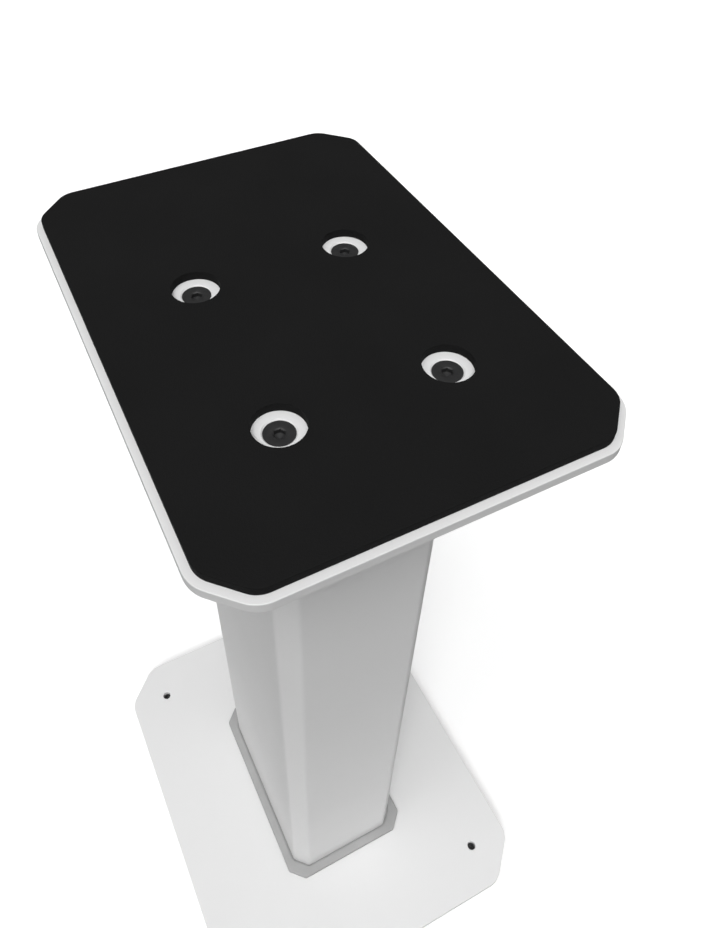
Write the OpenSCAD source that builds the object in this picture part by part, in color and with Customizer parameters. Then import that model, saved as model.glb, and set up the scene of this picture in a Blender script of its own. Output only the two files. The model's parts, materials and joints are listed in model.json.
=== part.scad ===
// Loudspeaker floor stand: a padded steel top plate on a chamfered sheet-steel column that is
// bolted to a weighted base plate with screw-adjusted feet.
// +Z is up, +X is the stand's left-to-right width and -Y is its front. The origin lies on the
// floor, under the middle of the base plate.

/* [Stand] */
// Height from the floor to the top of the pad, with the feet screwed right in
stand_h = 544; // [440:1:720]

/* [Top plate and pad] */
// Width of the top plate, side to side
plate_w = 165; // [130:1:220]
// Depth of the top plate, front to back
plate_d = 235; // [180:1:320]
// Thickness of the top plate
plate_t = 4.5; // [3.5:0.5:8]
// Leg of the chamfer at each corner of the top plate
plate_chamfer = 16; // [10:1:28]
// Radius where each chamfer of the top plate meets a side
plate_round = 13; // [3:1:16]
// Bare rim of the top plate around its pad
pad_rim = 3; // [1:0.5:8]
// Thickness of the pad
pad_t = 4; // [2:0.5:8]
// Diameter of the pad's holes over the screw heads
pad_hole_d = 20; // [15:1:24]

/* [Column] */
// Width of the column, side to side
col_w = 84; // [70:1:110]
// Depth of the column, front to back
col_d = 134; // [111:0.5:165]
// Offset of the column from the middle of the plates, negative towards the front
col_y = -1; // [-8:0.5:8]
// Leg of the chamfer down each corner of the column
col_chamfer = 9; // [7:0.5:11]
// Outer radius of the column's bends
col_bend = 4; // [3:0.5:6]
// Thickness of the column's sheet steel
col_wall = 1.5; // [1.2:0.1:2.5]
// Thickness of the end plates welded into the column
end_plate_t = 6; // [5:0.5:10]
// Thickness of the partition between the fill chamber and the cable channel
divider_t = 1.5; // [1:0.1:3]
// Depth of the cable channel behind the partition
channel_d = 33; // [27:1:42]
// Diameter of the filling hole above the fill chamber
fill_hole_d = 36; // [24:1:42]

/* [Cable cover] */
// Strip of rear wall left on each side of the cable opening
window_strip = 8; // [7:0.5:12]
// Rear wall left above and below the cable opening
window_end = 26; // [16:1:50]
// Height of the cable port left open above and below the cover
port_h = 30; // [16:1:60]
// Gap between the cover and the edges of its opening
cover_gap = 0.5; // [0.3:0.1:1]
// Diameter of the pegs that hold the cover
peg_d = 5; // [4:0.5:6]
// Length of the pegs that hold the cover
peg_l = 9; // [7:1:14]

/* [Base] */
// Width of the base plate, side to side
base_w = 240; // [200:1:320]
// Depth of the base plate, front to back
base_d = 285; // [235:1:380]
// Thickness of the base plate
base_t = 6; // [5:0.5:12]
// Leg of the chamfer at each corner of the base plate
base_chamfer = 25; // [15:1:34]
// Radius where each chamfer of the base plate meets a side
base_round = 16; // [4:1:20]
// Distance from the base plate's sides to the axis of each foot
foot_inset = 30; // [24:1:40]
// Thickness of the gasket between the base plate and the column
gasket_t = 4; // [3:0.5:8]
// Width of the gasket that shows around the column
gasket_lip = 7; // [4:0.5:12]
// Leg of the chamfer at each corner of the gasket
gasket_chamfer = 10; // [8:1:14]
// Radius where each chamfer of the gasket meets a side
gasket_round = 3; // [1:0.5:6]
// Depth of the pocket in the gasket that the column stands in
pocket_depth = 1.5; // [0.5:0.5:2]
// Gap between the column and the wall of its pocket
pocket_gap = 1.2; // [0.5:0.1:2]

/* [Feet] */
// Diameter of the levelling feet
foot_d = 32; // [24:1:44]
// Thickness of the rubber sole of a foot
sole_t = 2; // [1.5:0.5:4]
// Height of the moulded cup of a foot
cup_h = 8; // [6:0.5:12]
// Height of the hexagonal collar that turns a foot's stud
collar_h = 2; // [1.5:0.5:4]
// Height of the lock nuts
nut_h = 3; // [2.5:0.5:5]
// Height of the threaded bosses under the base plate
boss_h = 5; // [3:0.5:10]
// Depth of each stud's tip below the top of the base plate
stud_recess = 3; // [1:0.5:4]

/* [Screws] */
// Nominal diameter of all screws and studs
screw_d = 6; // [5:0.5:6.5]
// Diameter of the countersunk screw heads
head_d = 12; // [11:0.5:13]
// Depth of the screw heads below the plate's face
head_sink = 0.5; // [0.3:0.1:1]
// Length of the screws that hold the top plate
top_screw_l = 12; // [9:1:20]
// Length of the screws that hold the base plate
base_screw_l = 16; // [14:1:25]
// Distance from the side walls of the fill chamber to the top screws
screw_edge_x = 6.5; // [6:0.5:10]
// Distance from the front and back walls of the fill chamber to the top screws
screw_edge_y = 7; // [6.5:0.5:10]
// Distance from the column's inner walls to the base screws
base_screw_edge = 10; // [9:0.5:14]

/* [Hidden] */
$fn = 96;

// Name and direction of each corner of the base plate
CORNERS = [["front_left", -1, -1], ["front_right", 1, -1], ["rear_left", -1, 1], ["rear_right", 1, 1]];

// Small amount by which a cutter runs past the faces it cuts
cut = 1;
// Radial clearance of a screw in its thread, and of a stud or peg in its bore
run_gap = 0.05;
// Clearance between faces of neighbouring bodies
face_gap = 0.1;
// Radial clearance of a screw in a plain hole
bolt_gap = 0.3;
// Factor by which a chamfer's leg grows when its outline moves outwards by one
leg_grow = 2 - sqrt(2);

// Levels, from the floor up
foot_h = sole_t + cup_h + collar_h + nut_h + boss_h;
z_nut = foot_h - boss_h - nut_h;
z_base = foot_h;
z_gasket = z_base + base_t;
z_col = z_gasket + gasket_t - pocket_depth;
z_pad = stand_h - pad_t;
z_plate = z_pad - plate_t;
col_l = z_plate - z_col;

// Inside of the column
in_w = col_w - 2 * col_wall;
in_d = col_d - 2 * col_wall;
rear_y = col_y + col_d / 2;
wall_y = rear_y - col_wall;
seam_flange = 5;
seam_y = rear_y - col_chamfer - seam_flange;
divider_y = wall_y - channel_d - divider_t;
chamber_d = divider_y - (col_y - in_d / 2);
chamber_y = divider_y - chamber_d / 2;

// Fasteners
thread_r = screw_d / 2 + run_gap;
bolt_hole_r = screw_d / 2 + bolt_gap;
top_screw_x = in_w / 2 - screw_edge_x;
top_screw_y = chamber_d / 2 - screw_edge_y;
base_screw_x = in_w / 2 - base_screw_edge;
base_screw_y = in_d / 2 - base_screw_edge;
head_key = 4;
head_key_depth = 2;
stud_key = 3;
stud_key_depth = 3;
nut_across = 10;
collar_across = 8;
boss_d = 14;

// Filling hole and plug
plug_lip = 4;
plug_lip_t = 2;
plug_wall = 2.5;
plug_depth = end_plate_t + 3;

// Cable opening, cover and ports
window_w = col_w - 2 * col_chamfer - 2 * window_strip;
window_z = z_col + window_end;
window_h = col_l - 2 * window_end;
cover_z = window_z + port_h;
cover_h = window_h - 2 * port_h;
rail_t = 2;
rail_ledge = 4;
rail_lap = 5;
tab_w = 12;
tab_h = 16;
tab_end = 24;
peg_x = window_w / 2 - rail_ledge - tab_w / 2 + 1;
peg_zs = [cover_z + tab_end, cover_z + cover_h - tab_end];
bush_r = peg_d / 2 + 2;
bush_lip = 1.5;
bush_lip_t = 1.2;
trim_t = 2;
trim_lip = 4;
trim_lip_t = 1;
trim_gap = 0.5;

// Feet
foot_x = base_w / 2 - foot_inset;
foot_y = base_d / 2 - foot_inset;
cup_round = 3;
sole_step = 1.5;
socket_floor = 2;
stud_foot_z = sole_t + socket_floor + face_gap;
stud_top_z = z_gasket - stud_recess;
tap_mouth = 0.5;

// Rectangle with a chamfer at each corner, and every corner of that outline rounded to r
module chamfered_rect(w, d, leg, r = 0) {
    hx = w / 2;
    hy = d / 2;
    t = r * tan(22.5);
    s = t / sqrt(2);
    quarter = [
        [hx, hy - leg - t], [hx - s, hy - leg + s],
        [hx - leg + s, hy - s], [hx - leg - t, hy]
    ];
    turned = [for (i = [3:-1:0]) quarter[i]];
    polygon([
        for (p = quarter) p,
        for (p = turned) [-p[0], p[1]],
        for (p = quarter) [-p[0], -p[1]],
        for (p = turned) [p[0], -p[1]]
    ]);
    if (r > 0)
        for (sx = [-1, 1], sy = [-1, 1]) {
            translate([sx * (hx - r), sy * (hy - leg - t)]) circle(r = r);
            translate([sx * (hx - leg - t), sy * (hy - r)]) circle(r = r);
        }
}

// Chamfered plate between two levels
module plate(w, d, leg, r, z, t) {
    translate([0, 0, z]) linear_extrude(t) chamfered_rect(w, d, leg, r);
}

// Upright plate drawn in X and Z, between y and y + t
module upright(y, t) {
    translate([0, y + t, 0]) rotate([90, 0, 0]) linear_extrude(t) children();
}

// Copies at the four corners of a rectangle of half-sizes x and y
module at_four(x, y) {
    for (sx = [-1, 1], sy = [-1, 1]) translate([sx * x, sy * y, 0]) children();
}

module at_top_screws() {
    translate([0, chamber_y, 0]) at_four(top_screw_x, top_screw_y) children();
}

// Hexagonal prism measured across its flats
module hexagon(across, h) {
    cylinder(h = h, d = across / cos(30), $fn = 6);
}

// Countersunk screw with a hexagonal socket, its head's face at z = 0 and its tip down
module countersunk_screw(l) {
    head_l = (head_d - screw_d) / 2;
    difference() {
        union() {
            translate([0, 0, -head_l]) cylinder(h = head_l, d1 = screw_d, d2 = head_d);
            translate([0, 0, -l]) cylinder(h = l, d = screw_d);
        }
        translate([0, 0, -head_key_depth]) hexagon(head_key, head_key_depth + cut);
    }
}

// Cutter for a countersunk hole through a plate of thickness t whose face is at z = 0
module countersink(t) {
    mouth_r = head_d / 2 + head_sink;
    cone_l = mouth_r - bolt_hole_r;
    translate([0, 0, -cone_l]) cylinder(h = cone_l, r1 = bolt_hole_r, r2 = mouth_r);
    cylinder(h = cut, r = mouth_r);
    translate([0, 0, -t - cut]) cylinder(h = t + cut, r = bolt_hole_r);
}

module top_pad() {
    color("#202020")
    difference() {
        plate(plate_w - 2 * pad_rim, plate_d - 2 * pad_rim, plate_chamfer - pad_rim * leg_grow,
            plate_round - pad_rim, z_pad, pad_t);
        at_top_screws() translate([0, 0, z_pad - cut]) cylinder(h = pad_t + 2 * cut, d = pad_hole_d);
    }
}

module top_plate() {
    color("#eeeeec")
    difference() {
        plate(plate_w, plate_d, plate_chamfer, plate_round, z_plate, plate_t);
        at_top_screws() translate([0, 0, z_pad]) countersink(plate_t);
    }
}

module top_plate_screws() {
    color("#2c2c2c")
    at_top_screws() translate([0, 0, z_pad - head_sink]) countersunk_screw(top_screw_l);
}

// Plate on the column's own axis, with its outline grown outwards from the column's by `grow`
module around_column(grow, z, t) {
    translate([0, col_y, 0])
        plate(col_w + 2 * grow, col_d + 2 * grow, col_chamfer + grow * leg_grow, col_bend + grow, z, t);
}

// The column's closed section as a tube
module column_section() {
    difference() {
        around_column(0, z_col, col_l);
        around_column(-col_wall, z_col - cut, col_l + 2 * cut);
    }
}

module at_base_screws() {
    translate([0, col_y, 0]) at_four(base_screw_x, base_screw_y) children();
}

// The part of the column behind its welded side seams
module behind_seam() {
    translate([-col_w, seam_y, z_col - cut]) cube([2 * col_w, col_d, col_l + 2 * cut]);
}

module column_wrap() {
    color("#e9e9e7")
    difference() {
        column_section();
        behind_seam();
    }
}

module column_rear() {
    color("#e9e9e7")
    difference() {
        intersection() {
            column_section();
            behind_seam();
        }
        translate([-window_w / 2, wall_y - cut, window_z]) cube([window_w, col_wall + 2 * cut, window_h]);
    }
}

// Plate that fills the column's inside
module end_plate(z) {
    around_column(-col_wall, z, end_plate_t);
}

module column_cap() {
    z = z_plate - end_plate_t;
    color("#b9bbbd")
    difference() {
        end_plate(z);
        at_top_screws() translate([0, 0, z - cut]) cylinder(h = end_plate_t + 2 * cut, r = thread_r);
        translate([0, chamber_y, z - cut]) cylinder(h = end_plate_t + 2 * cut, d = fill_hole_d);
        translate([0, chamber_y, z_plate - plug_lip_t])
            cylinder(h = plug_lip_t + cut, d = fill_hole_d + 2 * plug_lip);
    }
}

module column_foot() {
    color("#b9bbbd")
    difference() {
        end_plate(z_col);
        at_base_screws() translate([0, 0, z_col - cut]) cylinder(h = end_plate_t + 2 * cut, r = thread_r);
    }
}

module column_divider() {
    color("#b9bbbd")
    translate([-in_w / 2, divider_y, z_col + end_plate_t])
        cube([in_w, divider_t, col_l - 2 * end_plate_t]);
}

module fill_plug() {
    r = fill_hole_d / 2;
    color("#262626")
    translate([0, chamber_y, z_plate])
        rotate_extrude()
            polygon([
                [0, -plug_lip_t], [0, 0], [r + plug_lip, 0], [r + plug_lip, -plug_lip_t],
                [r, -plug_lip_t], [r, -plug_depth], [r - plug_wall, -plug_depth],
                [r - plug_wall, -plug_lip_t]
            ]);
}

// Ledge behind one side of the cable opening, with a tab for each peg; side is -1 or 1
module cover_rail(side) {
    color("#b9bbbd")
    mirror([side < 0 ? 1 : 0, 0, 0])
    difference() {
        upright(wall_y - rail_t, rail_t) {
            translate([window_w / 2 - rail_ledge, cover_z]) square([rail_ledge + rail_lap, cover_h]);
            for (z = peg_zs)
                translate([window_w / 2 - rail_ledge - tab_w, z - tab_h / 2])
                    square([tab_w + rail_ledge, tab_h]);
        }
        for (z = peg_zs) at_peg(1, z) cylinder(h = 2 * channel_d, r = bush_r, center = true);
    }
}

// Axis of one cover peg, pointing to the front, from the inner face of the rear wall
module at_peg(side, z) {
    translate([side * peg_x, wall_y, z]) rotate([90, 0, 0]) children();
}

module at_pegs() {
    for (side = [-1, 1], z = peg_zs) at_peg(side, z) children();
}

module peg_bushes() {
    color("#1c1c1c")
    at_pegs()
        difference() {
            union() {
                cylinder(h = rail_t, r = bush_r);
                translate([0, 0, rail_t]) cylinder(h = bush_lip_t, r = bush_r + bush_lip);
            }
            translate([0, 0, -cut]) cylinder(h = rail_t + bush_lip_t + 2 * cut, r = peg_d / 2 + run_gap);
        }
}

module cable_cover() {
    color("#e9e9e7")
    translate([-window_w / 2 + cover_gap, wall_y + face_gap, cover_z + cover_gap])
        cube([window_w - 2 * cover_gap, col_wall - face_gap, cover_h - 2 * cover_gap]);
}

module cover_pegs() {
    tip_l = peg_d / 4;
    color("#262626")
    at_pegs()
        translate([0, 0, -face_gap]) {
            cylinder(h = peg_l - tip_l, d = peg_d);
            translate([0, 0, peg_l - tip_l]) cylinder(h = tip_l, d1 = peg_d, d2 = peg_d - tip_l);
        }
}

// U-shaped band around the outer end of a cable port, from `inner` to `outer` of the wall's edge
module port_band(inner, outer) {
    w = window_w / 2;
    l = port_h - trim_gap;
    difference() {
        translate([-w - outer, -l]) square([2 * (w + outer), l + outer]);
        translate([-w + inner, -l - cut]) square([2 * (w - inner), l + cut - inner]);
    }
}

// Rubber edging of a cable port whose outer end is at z; up is 1 for the upper port, -1 for the lower
module port_trim(z, up) {
    color("#1c1c1c")
    translate([0, 0, z])
        mirror([0, 0, up < 0 ? 1 : 0]) {
            upright(wall_y - trim_lip_t, trim_lip_t) port_band(trim_t, trim_lip);
            upright(wall_y, col_wall) port_band(trim_t, 0);
            upright(rear_y, trim_lip_t) port_band(trim_t, trim_lip);
        }
}

module upper_port_trim() {
    port_trim(window_z + window_h, 1);
}

module lower_port_trim() {
    port_trim(window_z, -1);
}

module base_gasket() {
    color("#a9a9a7")
    difference() {
        translate([0, col_y, 0])
            plate(col_w + 2 * gasket_lip, col_d + 2 * gasket_lip, gasket_chamfer, gasket_round,
                z_gasket, gasket_t);
        around_column(pocket_gap, z_col, pocket_depth + cut);
        at_base_screws() translate([0, 0, z_gasket - cut]) cylinder(h = gasket_t + 2 * cut, r = bolt_hole_r);
    }
}

module base_plate() {
    color("#eeeeec")
    difference() {
        plate(base_w, base_d, base_chamfer, base_round, z_base, base_t);
        at_base_screws() translate([0, 0, z_base]) mirror([0, 0, 1]) countersink(base_t);
        at_four(foot_x, foot_y) {
            translate([0, 0, z_base - cut]) cylinder(h = base_t + 2 * cut, r = thread_r);
            translate([0, 0, z_gasket - tap_mouth])
                cylinder(h = tap_mouth + cut, r1 = thread_r, r2 = thread_r + tap_mouth + cut);
        }
    }
}

module base_screws() {
    color("#2c2c2c")
    at_base_screws()
        translate([0, 0, z_base + head_sink]) mirror([0, 0, 1]) countersunk_screw(base_screw_l);
}

module base_bosses() {
    color("#eeeeec")
    at_four(foot_x, foot_y)
        difference() {
            translate([0, 0, z_base - boss_h]) cylinder(h = boss_h, d = boss_d);
            translate([0, 0, z_base - boss_h - cut]) cylinder(h = boss_h + 2 * cut, r = thread_r);
        }
}

module lock_nuts() {
    color("#b5b7ba")
    at_four(foot_x, foot_y)
        difference() {
            translate([0, 0, z_nut]) hexagon(nut_across, nut_h);
            translate([0, 0, z_nut - cut]) cylinder(h = nut_h + 2 * cut, r = thread_r);
        }
}

// Threaded stud with a turning collar and a key socket in its tip
module foot_stud() {
    collar_z = sole_t + cup_h + face_gap;
    color("#2c2c2c")
    difference() {
        union() {
            translate([0, 0, stud_foot_z]) cylinder(h = stud_top_z - stud_foot_z, d = screw_d);
            translate([0, 0, collar_z]) hexagon(collar_across, collar_h - 2 * face_gap);
        }
        translate([0, 0, stud_top_z - stud_key_depth]) hexagon(stud_key, stud_key_depth + cut);
    }
}

// Moulded cup that the stud turns in
module foot_cup() {
    r = foot_d / 2;
    color("#232323")
    translate([0, 0, sole_t])
        rotate_extrude()
            difference() {
                union() {
                    square([r, cup_h - cup_round]);
                    square([r - cup_round, cup_h]);
                    translate([r - cup_round, cup_h - cup_round]) circle(r = cup_round);
                }
                translate([0, socket_floor]) square([screw_d / 2 + run_gap, cup_h]);
            }
}

module foot_sole() {
    color("#1a1a1a")
    cylinder(h = sole_t, r = foot_d / 2 - sole_step);
}

top_pad();
top_plate();
top_plate_screws();
column_wrap();
column_rear();
column_cap();
column_foot();
column_divider();
fill_plug();
cover_rail(-1);  // cover_rail_left
cover_rail(1);  // cover_rail_right
peg_bushes();
upper_port_trim();
lower_port_trim();
cable_cover();
cover_pegs();
base_gasket();
base_plate();
base_screws();
base_bosses();
lock_nuts();
for (c = CORNERS) translate([c[1] * foot_x, c[2] * foot_y, 0]) {
    foot_stud();
    foot_cup();
    foot_sole();
}
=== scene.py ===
"""The looks of a loudspeaker floor stand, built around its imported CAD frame.

The CAD nodes give every size and place. Plates, pad, gasket and column are rebuilt here as clean
meshes with rolled edges, and every surface gets a procedural material.
"""

import json
import math

import bmesh
import bpy
from mathutils import Euler, Matrix, Vector
from mathutils.geometry import tessellate_polygon


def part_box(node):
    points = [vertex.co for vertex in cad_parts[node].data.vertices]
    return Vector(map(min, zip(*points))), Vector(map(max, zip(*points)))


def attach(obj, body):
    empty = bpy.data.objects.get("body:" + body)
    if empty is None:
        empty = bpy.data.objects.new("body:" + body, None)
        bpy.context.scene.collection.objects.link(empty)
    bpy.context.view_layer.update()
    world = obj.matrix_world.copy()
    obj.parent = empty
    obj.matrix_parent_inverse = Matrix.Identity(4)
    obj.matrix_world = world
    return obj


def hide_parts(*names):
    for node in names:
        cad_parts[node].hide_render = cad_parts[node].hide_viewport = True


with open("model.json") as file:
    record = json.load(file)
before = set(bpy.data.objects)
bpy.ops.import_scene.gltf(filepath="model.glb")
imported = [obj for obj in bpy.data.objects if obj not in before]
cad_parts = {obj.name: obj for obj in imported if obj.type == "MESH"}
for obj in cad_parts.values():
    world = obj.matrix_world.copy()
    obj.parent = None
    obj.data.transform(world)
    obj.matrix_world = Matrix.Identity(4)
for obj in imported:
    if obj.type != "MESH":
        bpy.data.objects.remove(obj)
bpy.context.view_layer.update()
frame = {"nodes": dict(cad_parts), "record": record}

MM = 0.001

# meshing
ARC_STEPS = 8  # segments in each 45 degree rounding of an outline
EDGE_STEPS = 5  # segments in a rolled edge
ROUND_STEPS = 72  # segments in a full circle, a multiple of six so that hexagons keep their corners
THREAD_STEPS = 10  # rings in each turn of a thread
SUPPORT = 0.15 * MM  # width of the flat strip that keeps a rolled edge's shading off its faces
SHARP_ANGLE = math.radians(32)  # faces that meet more steeply than this are shaded with an edge
TAN_EIGHTH = math.tan(math.radians(22.5))
LEG_GROW = 2 - math.sqrt(2)  # growth of a chamfer's leg when its outline moves outwards

# surroundings and light
FLOOR_GREY = 0.94
FLOOR_LIFT = 0.16  # the visible floor's own glow, which keeps it white
BOUNCE_NEAR = 0.62  # grey of the sheet that lights the stand from below, close to the stand
BOUNCE_FAR = 0.1  # and beyond its reach
BOUNCE_START = 0.25
BOUNCE_REACH = 0.8
FLOOR_R = 6
BACKDROP_R = 7
SKY_LIGHT = 0.2
TOP_TOWARDS = (0, -0.25, 1)
TOP_SPREAD = 50
TOP_LIGHT = 0.55
SIDE_TOWARDS = (-1.0, -0.1, 1.7)
SIDE_SPREAD = 24
SIDE_LIGHT = 0.55
KEY_TOWARDS = (-0.6, -1.0, 1.8)
KEY_SPREAD = 26
KEY_LIGHT = 2.0

# camera
LENS = 31.35
LENS_SHIFT = (0.0410, -0.0896)
CAMERA_FROM_PLATE = Vector((-0.1013, -0.2290, 0.2100))
CAMERA_DOWN = 45.47  # degrees below level
CAMERA_TURN = 26.25  # degrees clockwise from straight at the stand's front

# finish
PAINT_GREY = 0.74
PLATE_ROLL = 0.35 * MM  # radius of the plates' painted edges

# screws and nuts
HEAD_R = 6 * MM
HEAD_LAND = 0.2 * MM
SHANK_R = 3 * MM
BOLT_HOLE_R = 3.3 * MM
THREAD_HOLE_R = 3.05 * MM
THREAD_PITCH = 1 * MM
THREAD_DEPTH = 0.55 * MM
MOUTH_R = 6.5 * MM
HOLE_ROLL = 0.15 * MM
SOCKET_ACROSS = 4 * MM
SOCKET_DEPTH = 2 * MM
BOSS_R = 7 * MM
NUT_ACROSS = 10 * MM
COLLAR_ACROSS = 8 * MM
STUD_KEY = 3 * MM
STUD_KEY_DEPTH = 3 * MM

# pad, cable cover and gasket
PAD_HOLE_R = 10 * MM
TRIM_T = 2 * MM
TRIM_LIP = 4 * MM
TRIM_LIP_T = 1 * MM
TRIM_BEND = 1.5 * MM
PEG_R = 2.5 * MM
PEG_TAPER = 1.2 * MM
BUSH_R = 4.5 * MM
BUSH_LIP = 1.5 * MM
BUSH_LIP_T = 1.2 * MM
POCKET_GAP = 1.2 * MM


# ---- materials ---------------------------------------------------------------------------------


def new_material(name):
    """A material with a Principled shader; returns the material, its nodes, links and shader."""
    material = bpy.data.materials.new(name)
    material.use_nodes = True
    tree = material.node_tree
    return material, tree.nodes, tree.links, tree.nodes["Principled BSDF"]


def noise(nodes, links, scale, detail=2.0, roughness=0.5, stretch=None):
    """Noise over the object's own coordinates, in features per metre, optionally stretched."""
    where = nodes.new("ShaderNodeTexCoord").outputs["Object"]
    if stretch:
        mapping = nodes.new("ShaderNodeMapping")
        mapping.inputs["Scale"].default_value = stretch
        links.new(where, mapping.inputs["Vector"])
        where = mapping.outputs["Vector"]
    texture = nodes.new("ShaderNodeTexNoise")
    texture.inputs["Scale"].default_value = scale
    texture.inputs["Detail"].default_value = detail
    texture.inputs["Roughness"].default_value = roughness
    links.new(where, texture.inputs["Vector"])
    return texture.outputs["Fac"]


def spread(nodes, links, value, low, high):
    """Maps a noise's middle range to low..high, as a number or a grey."""
    ranged = nodes.new("ShaderNodeMapRange")
    ranged.inputs["From Min"].default_value = 0.3
    ranged.inputs["From Max"].default_value = 0.7
    ranged.inputs["To Min"].default_value = low
    ranged.inputs["To Max"].default_value = high
    links.new(value, ranged.inputs["Value"])
    return ranged.outputs["Result"]


def tint(nodes, links, value, dark, light):
    """Colour between two shades, driven by a noise."""
    ramp = nodes.new("ShaderNodeValToRGB")
    ramp.color_ramp.elements[0].position = 0.3
    ramp.color_ramp.elements[1].position = 0.7
    ramp.color_ramp.elements[0].color = (*dark, 1)
    ramp.color_ramp.elements[1].color = (*light, 1)
    links.new(value, ramp.inputs["Fac"])
    return ramp.outputs["Color"]


def bump(nodes, links, shader, heights):
    """Chains one bump per (height output, depth in metres) pair into the shader's normal."""
    normal = None
    for height, depth in heights:
        node = nodes.new("ShaderNodeBump")
        node.inputs["Distance"].default_value = depth
        links.new(height, node.inputs["Height"])
        if normal:
            links.new(normal, node.inputs["Normal"])
        normal = node.outputs["Normal"]
    links.new(normal, shader.inputs["Normal"])


def powder_coat():
    """Satin white powder coat: a fine orange peel over a faintly mottled white."""
    material, nodes, links, shader = new_material("white_powder_coat")
    mottle = noise(nodes, links, 9, 3)
    peel = noise(nodes, links, 900, 2)
    grain = noise(nodes, links, 4200, 1)
    dark, light = (PAINT_GREY - 0.01,) * 3, (PAINT_GREY + 0.01,) * 3
    links.new(tint(nodes, links, mottle, dark, light), shader.inputs["Base Color"])
    links.new(spread(nodes, links, peel, 0.40, 0.50), shader.inputs["Roughness"])
    shader.inputs["Specular IOR Level"].default_value = 0.4
    bump(nodes, links, shader, [(peel, 0.00004), (grain, 0.000008)])
    return material


def foam_rubber():
    """Black closed-cell foam rubber: a fine pebbled skin with no shine."""
    material, nodes, links, shader = new_material("black_foam_rubber")
    cells = nodes.new("ShaderNodeTexVoronoi")
    cells.inputs["Scale"].default_value = 1500
    links.new(nodes.new("ShaderNodeTexCoord").outputs["Object"], cells.inputs["Vector"])
    cloud = noise(nodes, links, 30, 4)
    dark, light = (0.0074, 0.0074, 0.0075), (0.0092, 0.0092, 0.0093)
    links.new(tint(nodes, links, cloud, dark, light), shader.inputs["Base Color"])
    links.new(spread(nodes, links, cloud, 0.80, 0.92), shader.inputs["Roughness"])
    shader.inputs["Specular IOR Level"].default_value = 0.12
    bump(nodes, links, shader, [(cells.outputs["Distance"], 0.00008), (cloud, 0.0001)])
    return material


def rubber(name, dark, light, specular=0.25):
    """Smooth matte rubber or moulded plastic between two near shades."""
    material, nodes, links, shader = new_material(name)
    cloud = noise(nodes, links, 45, 4)
    grain = noise(nodes, links, 2600, 2)
    links.new(tint(nodes, links, cloud, dark, light), shader.inputs["Base Color"])
    links.new(spread(nodes, links, grain, 0.58, 0.72), shader.inputs["Roughness"])
    shader.inputs["Specular IOR Level"].default_value = specular
    bump(nodes, links, shader, [(grain, 0.00003)])
    return material


def steel(name, dark, light, rough_low, rough_high, stretch):
    """Bare or plated steel with drawn or turned scratches along the stretched direction."""
    material, nodes, links, shader = new_material(name)
    lines = noise(nodes, links, 700, 4, 0.6, stretch)
    stain = noise(nodes, links, 60, 3)
    links.new(tint(nodes, links, stain, dark, light), shader.inputs["Base Color"])
    links.new(spread(nodes, links, lines, rough_low, rough_high), shader.inputs["Roughness"])
    shader.inputs["Metallic"].default_value = 1.0
    bump(nodes, links, shader, [(lines, 0.00001)])
    return material


def black_oxide():
    """Black-oxide screw steel: a thin satin black that still shines a little."""
    material, nodes, links, shader = new_material("black_oxide_steel")
    stain = noise(nodes, links, 400, 3)
    grain = noise(nodes, links, 3500, 2)
    dark, light = (0.020, 0.020, 0.0205), (0.027, 0.027, 0.0275)
    links.new(tint(nodes, links, stain, dark, light), shader.inputs["Base Color"])
    links.new(spread(nodes, links, grain, 0.42, 0.56), shader.inputs["Roughness"])
    shader.inputs["Metallic"].default_value = 0.2
    bump(nodes, links, shader, [(grain, 0.00001)])
    return material


MATERIALS = {
    "white_paint": powder_coat(),
    "pad_foam": foam_rubber(),
    "black_screws": black_oxide(),
    "grey_rubber": rubber("grey_gasket_rubber", (0.345, 0.345, 0.345), (0.375, 0.375, 0.375)),
    "black_rubber": rubber("black_rubber", (0.016, 0.016, 0.016), (0.024, 0.024, 0.024)),
    "black_plastic": rubber(
        "black_moulded_plastic", (0.022, 0.022, 0.023), (0.030, 0.030, 0.031), specular=0.4
    ),
    "bare_steel": steel(
        "mill_steel", (0.42, 0.43, 0.44), (0.52, 0.53, 0.54), 0.35, 0.5, stretch=(0.05, 1, 1)
    ),
    "zinc_steel": steel(
        "zinc_plated_steel", (0.58, 0.59, 0.60), (0.68, 0.69, 0.70), 0.22, 0.34, stretch=(1, 1, 0.1)
    ),
}
SLOT_OF = {row["node"]: row["material_slot"] for row in frame["record"]["subparts"]}
BODIES = frame["record"]["behaviour"]["bodies"]
BODY_OF = {node: body for body, nodes in BODIES.items() for node in nodes}


def dress_nodes():
    """Gives every CAD node the material of its slot."""
    for name, node in frame["nodes"].items():
        node.data.materials.clear()
        node.data.materials.append(MATERIALS[SLOT_OF[name]])


# ---- outlines and profiles ---------------------------------------------------------------------


def measure_outline(*nodes):
    """The chamfered outline round some CAD nodes, measured from their meshes.

    It is a centre, half a width, half a depth, a chamfer's leg and a corner's radius.
    """
    corners = [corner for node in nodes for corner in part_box(node)]
    low = Vector((min(c.x for c in corners), min(c.y for c in corners)))
    high = Vector((max(c.x for c in corners), max(c.y for c in corners)))
    centre = (low + high) / 2
    half = (high - low) / 2
    points = [v.co.xy - centre for node in nodes for v in frame["nodes"][node].data.vertices]
    leg = half.x + half.y - max(p.x - p.y for p in points)
    flat = max(-p.y for p in points if p.x > half.x - 0.01 * MM)
    radius = (half.y - leg - flat) / TAN_EIGHTH
    return centre, half.x, half.y, leg, radius


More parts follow.
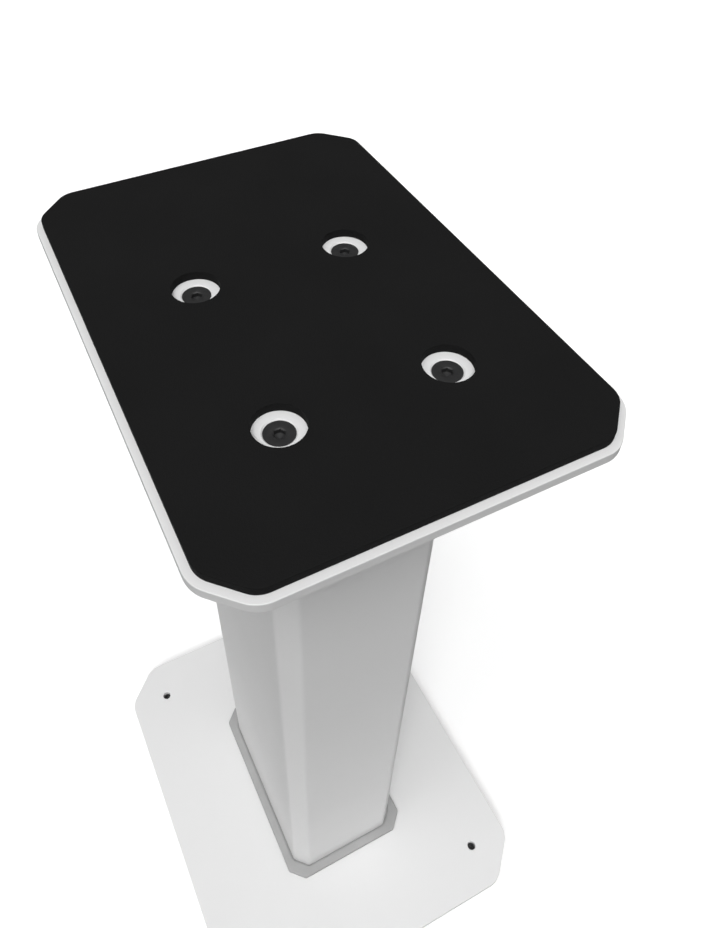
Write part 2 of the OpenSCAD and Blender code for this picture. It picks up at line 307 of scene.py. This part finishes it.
def corner_arc(centre, radius, start, sweep, steps):
    """Points round one corner, counter-clockwise, with a support point before and after the arc."""
    angles = [math.radians(start + sweep * i / steps) for i in range(steps + 1)]
    points = [centre + radius * Vector((math.cos(a), math.sin(a))) for a in angles]
    before = Vector((math.sin(angles[0]), -math.cos(angles[0]))) * SUPPORT
    after = Vector((-math.sin(angles[-1]), math.cos(angles[-1]))) * SUPPORT
    return [points[0] + before, *points, points[-1] + after]


def chamfered_outline(shape, inset=0.0):
    """Counter-clockwise points of a measured outline, moved inwards.

    They start at the rear end of the right side.
    """
    centre, half_x, half_y, leg, radius = shape
    half_x -= inset
    half_y -= inset
    leg -= inset * LEG_GROW
    radius = max(radius - inset, 0.1 * MM)
    tangent = radius * TAN_EIGHTH
    side = Vector((half_x - radius, half_y - leg - tangent))
    end = Vector((half_x - leg - tangent, half_y - radius))
    points = []
    for turn, (sx, sy) in enumerate(((1, 1), (-1, 1), (-1, -1), (1, -1))):
        pair = [Vector((sx * c.x, sy * c.y)) for c in (side, end)]
        for number, corner in enumerate(pair if turn % 2 == 0 else pair[::-1]):
            points += corner_arc(centre + corner, radius, 90 * turn + 45 * number, 45, ARC_STEPS)
    return points


def rectangle_outline(half_x, half_y, radius, inset=0.0):
    """Counter-clockwise points of a rounded rectangle round the origin, moved inwards."""
    radius = max(radius - inset, 0.1 * MM)
    x = half_x - inset - radius
    y = half_y - inset - radius
    points = []
    for turn, (sx, sy) in enumerate(((1, 1), (-1, 1), (-1, -1), (1, -1))):
        points += corner_arc(Vector((sx * x, sy * y)), radius, 90 * turn, 90, ARC_STEPS)
    return points


def rolled(corners):
    """Points of a profile through (a, z, radius) corners.

    A corner with a radius is rounded, between two support points.
    """
    points = []
    for i, (a, z, radius) in enumerate(corners):
        here = Vector((a, z))
        if not radius:
            points.append(here)
            continue
        back = (Vector(corners[i - 1][:2]) - here).normalized()
        ahead = (Vector(corners[(i + 1) % len(corners)][:2]) - here).normalized()
        half = back.angle(ahead) / 2
        reach = radius / math.tan(half)
        centre = here + (back + ahead).normalized() * (radius / math.sin(half))
        start = here + back * reach - centre
        end = here + ahead * reach - centre
        sweep = start.angle(end)
        points.append(here + back * (reach + SUPPORT))
        for step in range(EDGE_STEPS + 1):
            part = sweep * step / EDGE_STEPS
            spoke = (start * math.sin(sweep - part) + end * math.sin(part)) / math.sin(sweep)
            points.append(centre + spoke)
        points.append(here + ahead * (reach + SUPPORT))
    return points


def circle(radius):
    """Radius of a circle at any angle."""
    return lambda angle: radius


def hexagon(across):
    """Radius at any angle of a hexagon measured across its flats, with a corner at angle 0."""
    return lambda angle: across / 2 / math.cos(angle % math.radians(60) - math.radians(30))


def blunt_hexagon(across, limit):
    """Radius at any angle of a hexagon whose corners are turned down to a limit."""
    return lambda angle: min(hexagon(across)(angle), limit)


def round_ring(radius_at, z, centre=(0, 0)):
    """Ring of points at height z, with its radius given as a function of the angle."""
    ring = []
    for i in range(ROUND_STEPS):
        angle = math.tau * i / ROUND_STEPS
        radius = radius_at(angle)
        x = centre[0] + radius * math.cos(angle)
        y = centre[1] + radius * math.sin(angle)
        ring.append(Vector((x, y, z)))
    return ring


def lathe(profile, centre=(0, 0)):
    """Stack of circular rings for a profile of (radius, z) points."""
    return [round_ring(circle(radius), z, centre) for radius, z in profile]


def outline_stack(outline_at, profile):
    """Stack of rings for a profile of (inset, z) points, on an outline that takes an inset."""
    return [[Vector((*p, z)) for p in outline_at(inset)] for inset, z in profile]


def edge_profile(z_low, z_high, roll, run):
    """Profile of a plate's outer edge, rolled at both faces.

    The flat part of each face starts `run` inside the edge.
    """
    return rolled([(run, z_low, 0), (0, z_low, roll), (0, z_high, roll), (run, z_high, 0)])


def plate_edge(node, roll, run):
    """Stack of rings round the outside of a chamfered plate, measured from its CAD node."""
    shape = measure_outline(node)
    low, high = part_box(node)
    return outline_stack(
        lambda inset: chamfered_outline(shape, inset), edge_profile(low.z, high.z, roll, run)
    )


def hole_edge(radius, z_low, z_high, roll):
    """Profile of a round hole with rolled mouths."""
    wide = radius + 3 * roll
    return rolled([
        (wide, z_low, 0), (radius, z_low, roll), (radius, z_high, roll), (wide, z_high, 0),
    ])


def countersunk_hole(z_plain, z_mouth):
    """Profile of a countersunk hole, from its plain end to its mouth."""
    down = 1 if z_mouth > z_plain else -1
    cone = down * (MOUTH_R - BOLT_HOLE_R)
    return rolled([
        (BOLT_HOLE_R, z_plain, 0), (BOLT_HOLE_R, z_mouth - cone, HOLE_ROLL),
        (MOUTH_R, z_mouth, HOLE_ROLL), (MOUTH_R + 3 * HOLE_ROLL, z_mouth, 0),
    ])


# ---- meshes ------------------------------------------------------------------------------------


class Shape:
    """Vertices and faces of one piece, gathered from closed solids."""

    def __init__(self):
        self.points = []
        self.faces = []

    def add_solid(self, outside, *holes):
        """Closed solid between two flat ends, which each stack of rings runs between."""
        ends = ([], [])
        for rings in (outside, *holes):
            base = len(self.points)
            count = len(rings[0])
            for ring in rings:
                self.points += ring
            for row in range(len(rings) - 1):
                low = base + row * count
                for j in range(count):
                    k = (j + 1) % count
                    self.faces.append((low + j, low + k, low + count + k, low + count + j))
            last = base + (len(rings) - 1) * count
            ends[0].append(range(base, base + count))
            ends[1].append(range(last, last + count))
        for rings in ends:
            order = [i for ring in rings for i in ring]
            loops = [[self.points[i] for i in ring] for ring in rings]
            for triangle in tessellate_polygon(loops):
                self.faces.append(tuple(order[i] for i in triangle))

    def add_sheet(self, outer, inner, levels, open_cells=()):
        """Bent sheet metal between two matching paths, through the levels.

        Some (column, row) cells can be left open.
        """
        base = len(self.points)
        count = len(outer)
        for path in (outer, inner):
            for z in levels:
                self.points += [Vector((*p, z)) for p in path]

        def at(side, column, row):
            return base + (side * len(levels) + row) * count + column

        cells = {(c, r) for c in range(count - 1) for r in range(len(levels) - 1)} - set(open_cells)
        for c, r in sorted(cells):
            corners = [(c, r), (c + 1, r), (c + 1, r + 1), (c, r + 1)]
            for side in (0, 1):
                self.faces.append(tuple(at(side, *corner) for corner in corners))
            for k, beyond in enumerate(((c, r - 1), (c + 1, r), (c, r + 1), (c - 1, r))):
                if beyond not in cells:
                    a, b = corners[k], corners[(k + 1) % 4]
                    self.faces.append((at(0, *a), at(0, *b), at(1, *b), at(1, *a)))

    def make(self, name, *nodes, turn=None):
        """Makes the piece, with the body and the finish of the first CAD node it stands for."""
        build = bmesh.new()
        for point in self.points:
            build.verts.new(turn @ point if turn else point)
        build.verts.ensure_lookup_table()
        for face in self.faces:
            build.faces.new([build.verts[i] for i in face]).smooth = True
        bmesh.ops.recalc_face_normals(build, faces=build.faces)
        mesh = bpy.data.meshes.new(name)
        build.to_mesh(mesh)
        build.free()
        mesh.set_sharp_from_angle(angle=SHARP_ANGLE)
        mesh.materials.append(MATERIALS[SLOT_OF[nodes[0]]])
        piece = bpy.data.objects.new(name, mesh)
        bpy.context.collection.objects.link(piece)
        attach(piece, BODY_OF[nodes[0]])
        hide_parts(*nodes)
        return piece


def four_axes(node, radius):
    """Upright axes of the round parts, of this radius, in the four corners of a CAD node's box."""
    low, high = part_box(node)
    low_x, high_x = low.x + radius, high.x - radius
    low_y, high_y = low.y + radius, high.y - radius
    return [(x, y) for x in (low_x, high_x) for y in (low_y, high_y)]


# ---- top ---------------------------------------------------------------------------------------


def make_top_pad():
    low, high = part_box("top_pad")
    hole = hole_edge(PAD_HOLE_R, low.z, high.z, roll=0.2 * MM)
    holes = [lathe(hole, axis) for axis in four_axes("top_plate_screws", HEAD_R)]
    pad = Shape()
    pad.add_solid(plate_edge("top_pad", roll=0.4 * MM, run=2 * MM), *holes)
    return pad.make("pad", "top_pad")


def make_top_plate():
    low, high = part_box("top_plate")
    hole = countersunk_hole(low.z, high.z)
    holes = [lathe(hole, axis) for axis in four_axes("top_plate_screws", HEAD_R)]
    plate = Shape()
    plate.add_solid(plate_edge("top_plate", PLATE_ROLL, run=2 * MM), *holes)
    plate.make("plate_top", "top_plate")


def add_screw(shape, face, tip, axis):
    """Countersunk screw between the heights of its face and its tip.

    Its hexagonal socket has a turned chamfer at the mouth and a drilled floor.
    """
    up = 1 if face > tip else -1
    cone = up * (HEAD_R - SHANK_R)
    body = rolled([
        (0.7 * SHANK_R, tip, 0), (SHANK_R, tip + up * 0.9 * MM, 0),
        (SHANK_R, face - cone, 0.5 * MM), (HEAD_R, face - up * HEAD_LAND, 0),
        (HEAD_R, face, 0.08 * MM), (HEAD_R - 1.2 * MM, face, 0),
    ])
    mouth = [(0.64 * SOCKET_ACROSS, face), (0.62 * SOCKET_ACROSS, face - up * 0.03 * MM)]
    rings = lathe(body, axis) + lathe(mouth, axis)
    for depth in (0.35 * MM, 0.5 * MM, SOCKET_DEPTH):
        rings.append(round_ring(hexagon(SOCKET_ACROSS), face - up * depth, axis))
    floor = face - up * SOCKET_DEPTH
    drilled = [(0.43 * SOCKET_ACROSS, floor), (0.03 * SOCKET_ACROSS, floor - up * 0.9 * MM)]
    shape.add_solid(rings + lathe(drilled, axis))


def make_screws(name, node, up):
    """The four screws of a CAD node, with their heads up or down."""
    low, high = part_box(node)
    face, tip = (high.z, low.z) if up else (low.z, high.z)
    screws = Shape()
    for axis in four_axes(node, HEAD_R):
        add_screw(screws, face, tip, axis)
    screws.make(name, node)


# ---- column ------------------------------------------------------------------------------------


def make_column():
    """The column's two bent sheets, which meet halfway down its sides."""
    shape = measure_outline("column_wrap", "column_rear")
    low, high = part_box("column_rear")
    wall = high.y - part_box("cover_rail_left")[1].y
    faces = ((chamfered_outline(shape), 0), (chamfered_outline(shape, wall), wall))
    half = len(faces[0][0]) // 2
    quarter = half // 2
    right, left = shape[1], -shape[1]
    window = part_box("upper_port_trim")[1].x - TRIM_LIP
    window_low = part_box("lower_port_trim")[0].z + TRIM_LIP
    window_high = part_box("upper_port_trim")[1].z - TRIM_LIP

    front_paths, rear_paths = [], []
    for path, inset in faces:
        left_end, right_end = Vector((left + inset, low.y)), Vector((right - inset, low.y))
        back = high.y - inset
        opening = [Vector((window, back)), Vector((-window, back))]
        front_paths.append([left_end, *path[half:], right_end])
        rear_paths.append([right_end, *path[:quarter], *opening, *path[quarter:half], left_end])

    front = Shape()
    front.add_sheet(*front_paths, [low.z, high.z])
    front.make("column_front_shell", "column_wrap")

    rear = Shape()
    levels = [low.z, window_low, window_high, high.z]
    rear.add_sheet(*rear_paths, levels, open_cells=[(quarter + 1, 1)])
    rear.make("column_rear_shell", "column_rear")


def make_cable_cover():
    low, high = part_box("cable_cover")
    middle = (low + high) / 2
    size = (high - low) / 2
    panel = Shape()
    panel.add_solid(outline_stack(
        lambda inset: rectangle_outline(size.x, size.z, 1.2 * MM, inset),
        edge_profile(-size.y, size.y, roll=0.4 * MM, run=1.5 * MM),
    ))
    turn = Matrix.Translation(middle) @ Matrix.Rotation(math.radians(90), 4, "X")
    panel.make("cover_panel", "cable_cover", turn=turn)


def make_port_trim(name, node, up):
    """Rubber edging swept round the outer end of a cable port."""
    low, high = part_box(node)
    half = high.x - TRIM_LIP
    flip = 1 if up else -1
    outer_end = (high.z if up else -low.z) - TRIM_LIP
    inner_end = low.z if up else -high.z
    front, back = low.y + TRIM_LIP_T, high.y - TRIM_LIP_T
    profile = rolled([
        (-TRIM_T, front, 0.5 * MM), (-TRIM_T, back, 0.5 * MM),
        (-0.3 * MM, high.y, 0.4 * MM), (TRIM_LIP, high.y, 0.45 * MM), (TRIM_LIP, back, 0.2 * MM),
        (0, back, 0), (0, front, 0),
        (TRIM_LIP, front, 0.2 * MM), (TRIM_LIP, low.y, 0.45 * MM), (-0.3 * MM, low.y, 0.4 * MM),
    ])
    bend = TRIM_T + TRIM_BEND
    stations = [(Vector((half, inner_end)), Vector((1, 0)))]
    for sx, start in ((1, 0), (-1, 90)):
        middle = Vector((sx * (half - bend), outer_end - bend))
        for step in range(ARC_STEPS + 1):
            angle = math.radians(start + 90 * step / ARC_STEPS)
            out = Vector((math.cos(angle), math.sin(angle)))
            stations.append((middle + bend * out, out))
    stations.append((Vector((-half, inner_end)), Vector((-1, 0))))

    rings = []
    for place, out in stations:
        spots = [(place + out * a, y) for a, y in profile]
        rings.append([Vector((spot.x, y, flip * spot.y)) for spot, y in spots])
    trim = Shape()
    trim.add_solid(rings)
    trim.make(name, node)


def make_pegs():
    """The cover's pegs and their bushes, built upright with +Z towards the stand's front."""
    low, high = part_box("cover_pegs")
    root, tip = -high.y, -low.y
    peg = rolled([
        (PEG_R - 0.1 * MM, root, 0), (PEG_R, root + 0.2 * MM, 0),
        (PEG_R, tip - PEG_TAPER, 0.4 * MM), (PEG_R - PEG_TAPER, tip, 0.3 * MM),
        (0.5 * MM, tip, 0),
    ])
    bush_low, bush_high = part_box("peg_bushes")
    bush_root, bush_tip = -bush_high.y, -bush_low.y
    bush = rolled([
        (BUSH_R, bush_root, 0), (BUSH_R, bush_tip - BUSH_LIP_T, 0),
        (BUSH_R + BUSH_LIP, bush_tip - BUSH_LIP_T, 0.2 * MM),
        (BUSH_R + BUSH_LIP, bush_tip, 0.4 * MM), (PEG_R + 1 * MM, bush_tip, 0),
    ])
    bore_r = PEG_R + 0.05 * MM
    bore = [(bore_r, bush_root), (bore_r, bush_tip - 0.3 * MM), (PEG_R + 0.4 * MM, bush_tip)]

    pegs, bushes = Shape(), Shape()
    for x in (low.x + PEG_R, high.x - PEG_R):
        for z in (low.z + PEG_R, high.z - PEG_R):
            pegs.add_solid(lathe(peg, (x, z)))
            bushes.add_solid(lathe(bush, (x, z)), lathe(bore, (x, z)))
    to_front = Matrix.Rotation(math.radians(90), 4, "X")
    pegs.make("cover_peg_set", "cover_pegs", turn=to_front)
    bushes.make("cover_bush_set", "peg_bushes", turn=to_front)


# ---- base and feet -----------------------------------------------------------------------------


def make_base_gasket():
    """The gasket, with the pocket that the column's foot stands in."""
    low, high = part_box("base_gasket")
    column = measure_outline("column_wrap", "column_rear")
    floor_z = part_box("column_wrap")[0].z
    pocket = rolled([
        (8 * MM, low.z, 0), (8 * MM, floor_z, 0), (-POCKET_GAP, floor_z, 0),
        (-POCKET_GAP, high.z, 0.3 * MM), (-POCKET_GAP - 1 * MM, high.z, 0),
    ])
    gasket = Shape()
    gasket.add_solid(
        plate_edge("base_gasket", roll=0.7 * MM, run=2 * MM),
        outline_stack(lambda inset: chamfered_outline(column, inset), pocket),
    )
    gasket.make("gasket", "base_gasket")


def make_base_plate():
    low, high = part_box("base_plate")
    bolt_hole = countersunk_hole(high.z, low.z)[::-1]
    foot_hole = rolled([
        (THREAD_HOLE_R, low.z, 0), (THREAD_HOLE_R, high.z - 0.5 * MM, 0),
        (THREAD_HOLE_R + 0.5 * MM, high.z, 0.1 * MM), (5 * MM, high.z, 0),
    ])
    holes = [lathe(bolt_hole, axis) for axis in four_axes("base_screws", HEAD_R)]
    holes += [lathe(foot_hole, axis) for axis in four_axes("base_bosses", BOSS_R)]
    plate = Shape()
    plate.add_solid(plate_edge("base_plate", PLATE_ROLL, run=3 * MM), *holes)
    plate.make("plate_base", "base_plate")


def make_bosses():
    low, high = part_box("base_bosses")
    outside = rolled([(BOSS_R - 2 * MM, low.z, 0), (BOSS_R, low.z, 0.8 * MM), (BOSS_R, high.z, 0)])
    hole = rolled([
        (THREAD_HOLE_R + 1 * MM, low.z, 0), (THREAD_HOLE_R, low.z, 0.4 * MM),
        (THREAD_HOLE_R, high.z, 0),
    ])
    bosses = Shape()
    for axis in four_axes("base_bosses", BOSS_R):
        bosses.add_solid(lathe(outside, axis), lathe(hole, axis))
    bosses.make("boss_set", "base_bosses")


def make_nuts():
    """The lock nuts, with corners turned down at both faces."""
    low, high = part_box("lock_nuts")
    limits = []
    for inset, reach in ((0, 0), (0.25 * MM, 0.43 * MM), (0.5 * MM, 0.87 * MM)):
        limits.append((low.z + inset, NUT_ACROSS * 0.49 + reach))
    limits += [(low.z + high.z - z, limit) for z, limit in limits[::-1]]
    mouth_r, mouth = THREAD_HOLE_R + 0.4 * MM, 0.4 * MM
    hole = [
        (mouth_r, low.z), (THREAD_HOLE_R, low.z + mouth),
        (THREAD_HOLE_R, high.z - mouth), (mouth_r, high.z),
    ]
    nuts = Shape()
    for axis in four_axes("base_bosses", BOSS_R):
        outside = [round_ring(blunt_hexagon(NUT_ACROSS, limit), z, axis) for z, limit in limits]
        nuts.add_solid(outside, lathe(hole, axis))
    nuts.make("nut_set", "lock_nuts")


def make_sole(corner, axis):
    low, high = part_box("foot_sole_" + corner)
    radius = (high.x - low.x) / 2
    profile = rolled([(radius - 3 * MM, low.z, 0), (radius, low.z, 0.6 * MM), (radius, high.z, 0)])
    sole = Shape()
    sole.add_solid(lathe(profile, axis))
    sole.make("sole_" + corner, "foot_sole_" + corner)


def make_cup(corner, axis):
    low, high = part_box("foot_cup_" + corner)
    radius = (high.x - low.x) / 2
    profile = rolled([
        (radius - 3 * MM, low.z, 0), (radius, low.z, 0.5 * MM), (radius, high.z, 3 * MM),
        (THREAD_HOLE_R, high.z, 0.4 * MM), (THREAD_HOLE_R, low.z + 2 * MM, 0),
    ])
    cup = Shape()
    cup.add_solid(lathe(profile, axis))
    cup.make("cup_" + corner, "foot_cup_" + corner)


def thread_radius(angle, z):
    """Radius of a right-handed M6 thread at an angle and height."""
    part = (z / THREAD_PITCH - angle / math.tau) % 1
    crest = min(1.0, max(0.0, 2.3 * abs(2 * part - 1) - 0.45))
    return SHANK_R - THREAD_DEPTH * (1 - crest)


def capped_thread(z, cap):
    """Radius at any angle of the thread at a height, cut down to a cap."""
    return lambda angle: min(cap, thread_radius(angle, z))


def stud_end(low, high, axis):
    """Rings of a stud's threaded end, tapered at its tip."""
    rings = []
    steps = int((high - low) / THREAD_PITCH * THREAD_STEPS)
    for step in range(steps + 1):
        z = low + (high - low) * step / steps
        taper = min(1.0, max(0.0, (high - z) / (0.8 * MM)))
        cap = SHANK_R * (0.8 + 0.2 * taper)
        rings.append(round_ring(capped_thread(z, cap), z, axis))
    return rings


def make_stud(corner, axis):
    """The stud that turns in a foot's cup: shank, hexagonal collar, thread and key socket."""
    low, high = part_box("foot_stud_" + corner)
    collar_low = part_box("foot_cup_" + corner)[1].z + 0.1 * MM
    collar_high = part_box("lock_nuts")[0].z - 0.1 * MM
    shank_r = SHANK_R * 0.95
    shank = [(SHANK_R * 0.8, low.z), (shank_r, low.z + 0.4 * MM), (shank_r, collar_low)]
    rings = lathe(shank, axis)
    for z, reach in (
        (collar_low, 0), (collar_low + 0.3 * MM, 0.45 * MM),
        (collar_high - 0.3 * MM, 0.45 * MM), (collar_high, 0),
    ):
        limit = COLLAR_ACROSS * 0.49 + reach
        rings.append(round_ring(blunt_hexagon(COLLAR_ACROSS, limit), z, axis))
    rings += stud_end(collar_high, high.z, axis)
    floor = high.z - STUD_KEY_DEPTH
    rings += [round_ring(hexagon(STUD_KEY), z, axis) for z in (high.z, floor)]
    rings += lathe([(0.42 * STUD_KEY, floor), (0.05 * STUD_KEY, floor - 0.6 * MM)], axis)
    stud = Shape()
    stud.add_solid(rings)
    stud.make("stud_screw_" + corner, "foot_stud_" + corner)


def make_foot(corner):
    low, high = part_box("foot_sole_" + corner)
    axis = ((low.x + high.x) / 2, (low.y + high.y) / 2)
    make_sole(corner, axis)
    make_cup(corner, axis)
    make_stud(corner, axis)


# ---- light, floor and camera -------------------------------------------------------------------


def add_disc(name, z, near_grey, far_grey, near, far):
    """A wide matte disc, faintly mottled, whose grey fades outwards between two distances."""
    bpy.ops.mesh.primitive_circle_add(
        vertices=96, radius=FLOOR_R, fill_type="NGON", location=(0, 0, z)
    )
    disc = bpy.context.object
    disc.name = name
    material, nodes, links, shader = new_material(name)
    place = nodes.new("ShaderNodeTexCoord").outputs["Object"]
    distance = nodes.new("ShaderNodeVectorMath")
    distance.operation = "LENGTH"
    links.new(place, distance.inputs[0])
    fade = nodes.new("ShaderNodeMapRange")
    fade.interpolation_type = "SMOOTHSTEP"
    fade.inputs["From Min"].default_value = near
    fade.inputs["From Max"].default_value = far
    fade.inputs["To Min"].default_value = near_grey
    fade.inputs["To Max"].default_value = far_grey
    links.new(distance.outputs["Value"], fade.inputs["Value"])
    mottle = spread(nodes, links, noise(nodes, links, 2, 2), 0.99, 1.01)
    grey = nodes.new("ShaderNodeMath")
    grey.operation = "MULTIPLY"
    links.new(fade.outputs["Result"], grey.inputs[0])
    links.new(mottle, grey.inputs[1])
    links.new(grey.outputs["Value"], shader.inputs["Base Color"])
    shader.inputs["Roughness"].default_value = 0.9
    shader.inputs["Specular IOR Level"].default_value = 0.1
    disc.data.materials.append(material)
    return disc


def show_to_camera_only(thing):
    """The thing gives no light, casts no shadow and shows in no reflection."""
    thing.visible_diffuse = False
    thing.visible_glossy = False
    thing.visible_shadow = False


def add_floor():
    """A pale floor for the eye, and under it the sheet that sets how much light comes back up."""
    floor = add_disc("floor", 0, FLOOR_GREY, FLOOR_GREY, 1, 2)
    glow = floor.data.materials[0].node_tree.nodes["Principled BSDF"].inputs
    glow["Emission Color"].default_value = (1, 1, 1, 1)
    glow["Emission Strength"].default_value = FLOOR_LIFT
    show_to_camera_only(floor)
    bounce = add_disc("bounce_disc", -1 * MM, BOUNCE_NEAR, BOUNCE_FAR, BOUNCE_START, BOUNCE_REACH)
    bounce.visible_camera = False


def add_backdrop():
    """White surroundings beyond the floor."""
    bpy.ops.mesh.primitive_uv_sphere_add(
        segments=64, ring_count=32, radius=BACKDROP_R, location=(0, 0, 0)
    )
    backdrop = bpy.context.object
    backdrop.name = "backdrop"
    material, nodes, links, shader = new_material("backdrop")
    glow = spread(nodes, links, noise(nodes, links, 1, 2), 1.0, 1.04)
    links.new(glow, shader.inputs["Emission Strength"])
    shader.inputs["Emission Color"].default_value = (1, 1, 1, 1)
    shader.inputs["Base Color"].default_value = (0, 0, 0, 1)
    shader.inputs["Roughness"].default_value = 1
    shader.inputs["Specular IOR Level"].default_value = 0
    backdrop.data.materials.append(material)
    show_to_camera_only(backdrop)


def add_soft_sun(name, towards, spread_degrees, strength):
    """A far, wide softbox in the direction given."""
    data = bpy.data.lights.new(name, "SUN")
    data.angle = math.radians(spread_degrees)
    data.energy = strength
    light = bpy.data.objects.new(name, data)
    bpy.context.collection.objects.link(light)
    light.rotation_euler = Vector(towards).to_track_quat("Z", "Y").to_euler()


def add_world(strength):
    world = bpy.data.worlds.new("studio")
    world.use_nodes = True
    world.node_tree.nodes["Background"].inputs["Color"].default_value = (1, 1, 1, 1)
    world.node_tree.nodes["Background"].inputs["Strength"].default_value = strength
    bpy.context.scene.world = world


def add_camera(plate_centre):
    """The viewpoint above the stand's front left corner, looking down on its top plate."""
    data = bpy.data.cameras.new("camera")
    data.sensor_width = 36
    data.lens = LENS
    data.shift_x, data.shift_y = LENS_SHIFT
    data.clip_start = 0.01
    camera = bpy.data.objects.new("camera", data)
    bpy.context.collection.objects.link(camera)
    camera.location = plate_centre + CAMERA_FROM_PLATE
    camera.rotation_euler = Euler((math.radians(90 - CAMERA_DOWN), 0, math.radians(-CAMERA_TURN)))
    bpy.context.scene.camera = camera


dress_nodes()
make_top_pad()
make_top_plate()
make_screws("top_screw_set", "top_plate_screws", up=True)
make_column()
make_cable_cover()
make_port_trim("upper_port_edging", "upper_port_trim", up=True)
make_port_trim("lower_port_edging", "lower_port_trim", up=False)
make_pegs()
make_base_gasket()
make_base_plate()
make_screws("base_screw_set", "base_screws", up=False)
make_bosses()
make_nuts()
for corner in ("front_left", "front_right", "rear_left", "rear_right"):
    make_foot(corner)
add_floor()
add_backdrop()
add_world(SKY_LIGHT)
add_soft_sun("overhead_softbox", TOP_TOWARDS, TOP_SPREAD, TOP_LIGHT)
add_soft_sun("key_softbox", KEY_TOWARDS, KEY_SPREAD, KEY_LIGHT)
add_soft_sun("side_softbox", SIDE_TOWARDS, SIDE_SPREAD, SIDE_LIGHT)
add_camera(Vector((0, 0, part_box("top_plate")[1].z)))
bpy.context.scene.view_settings.view_transform = "Standard"
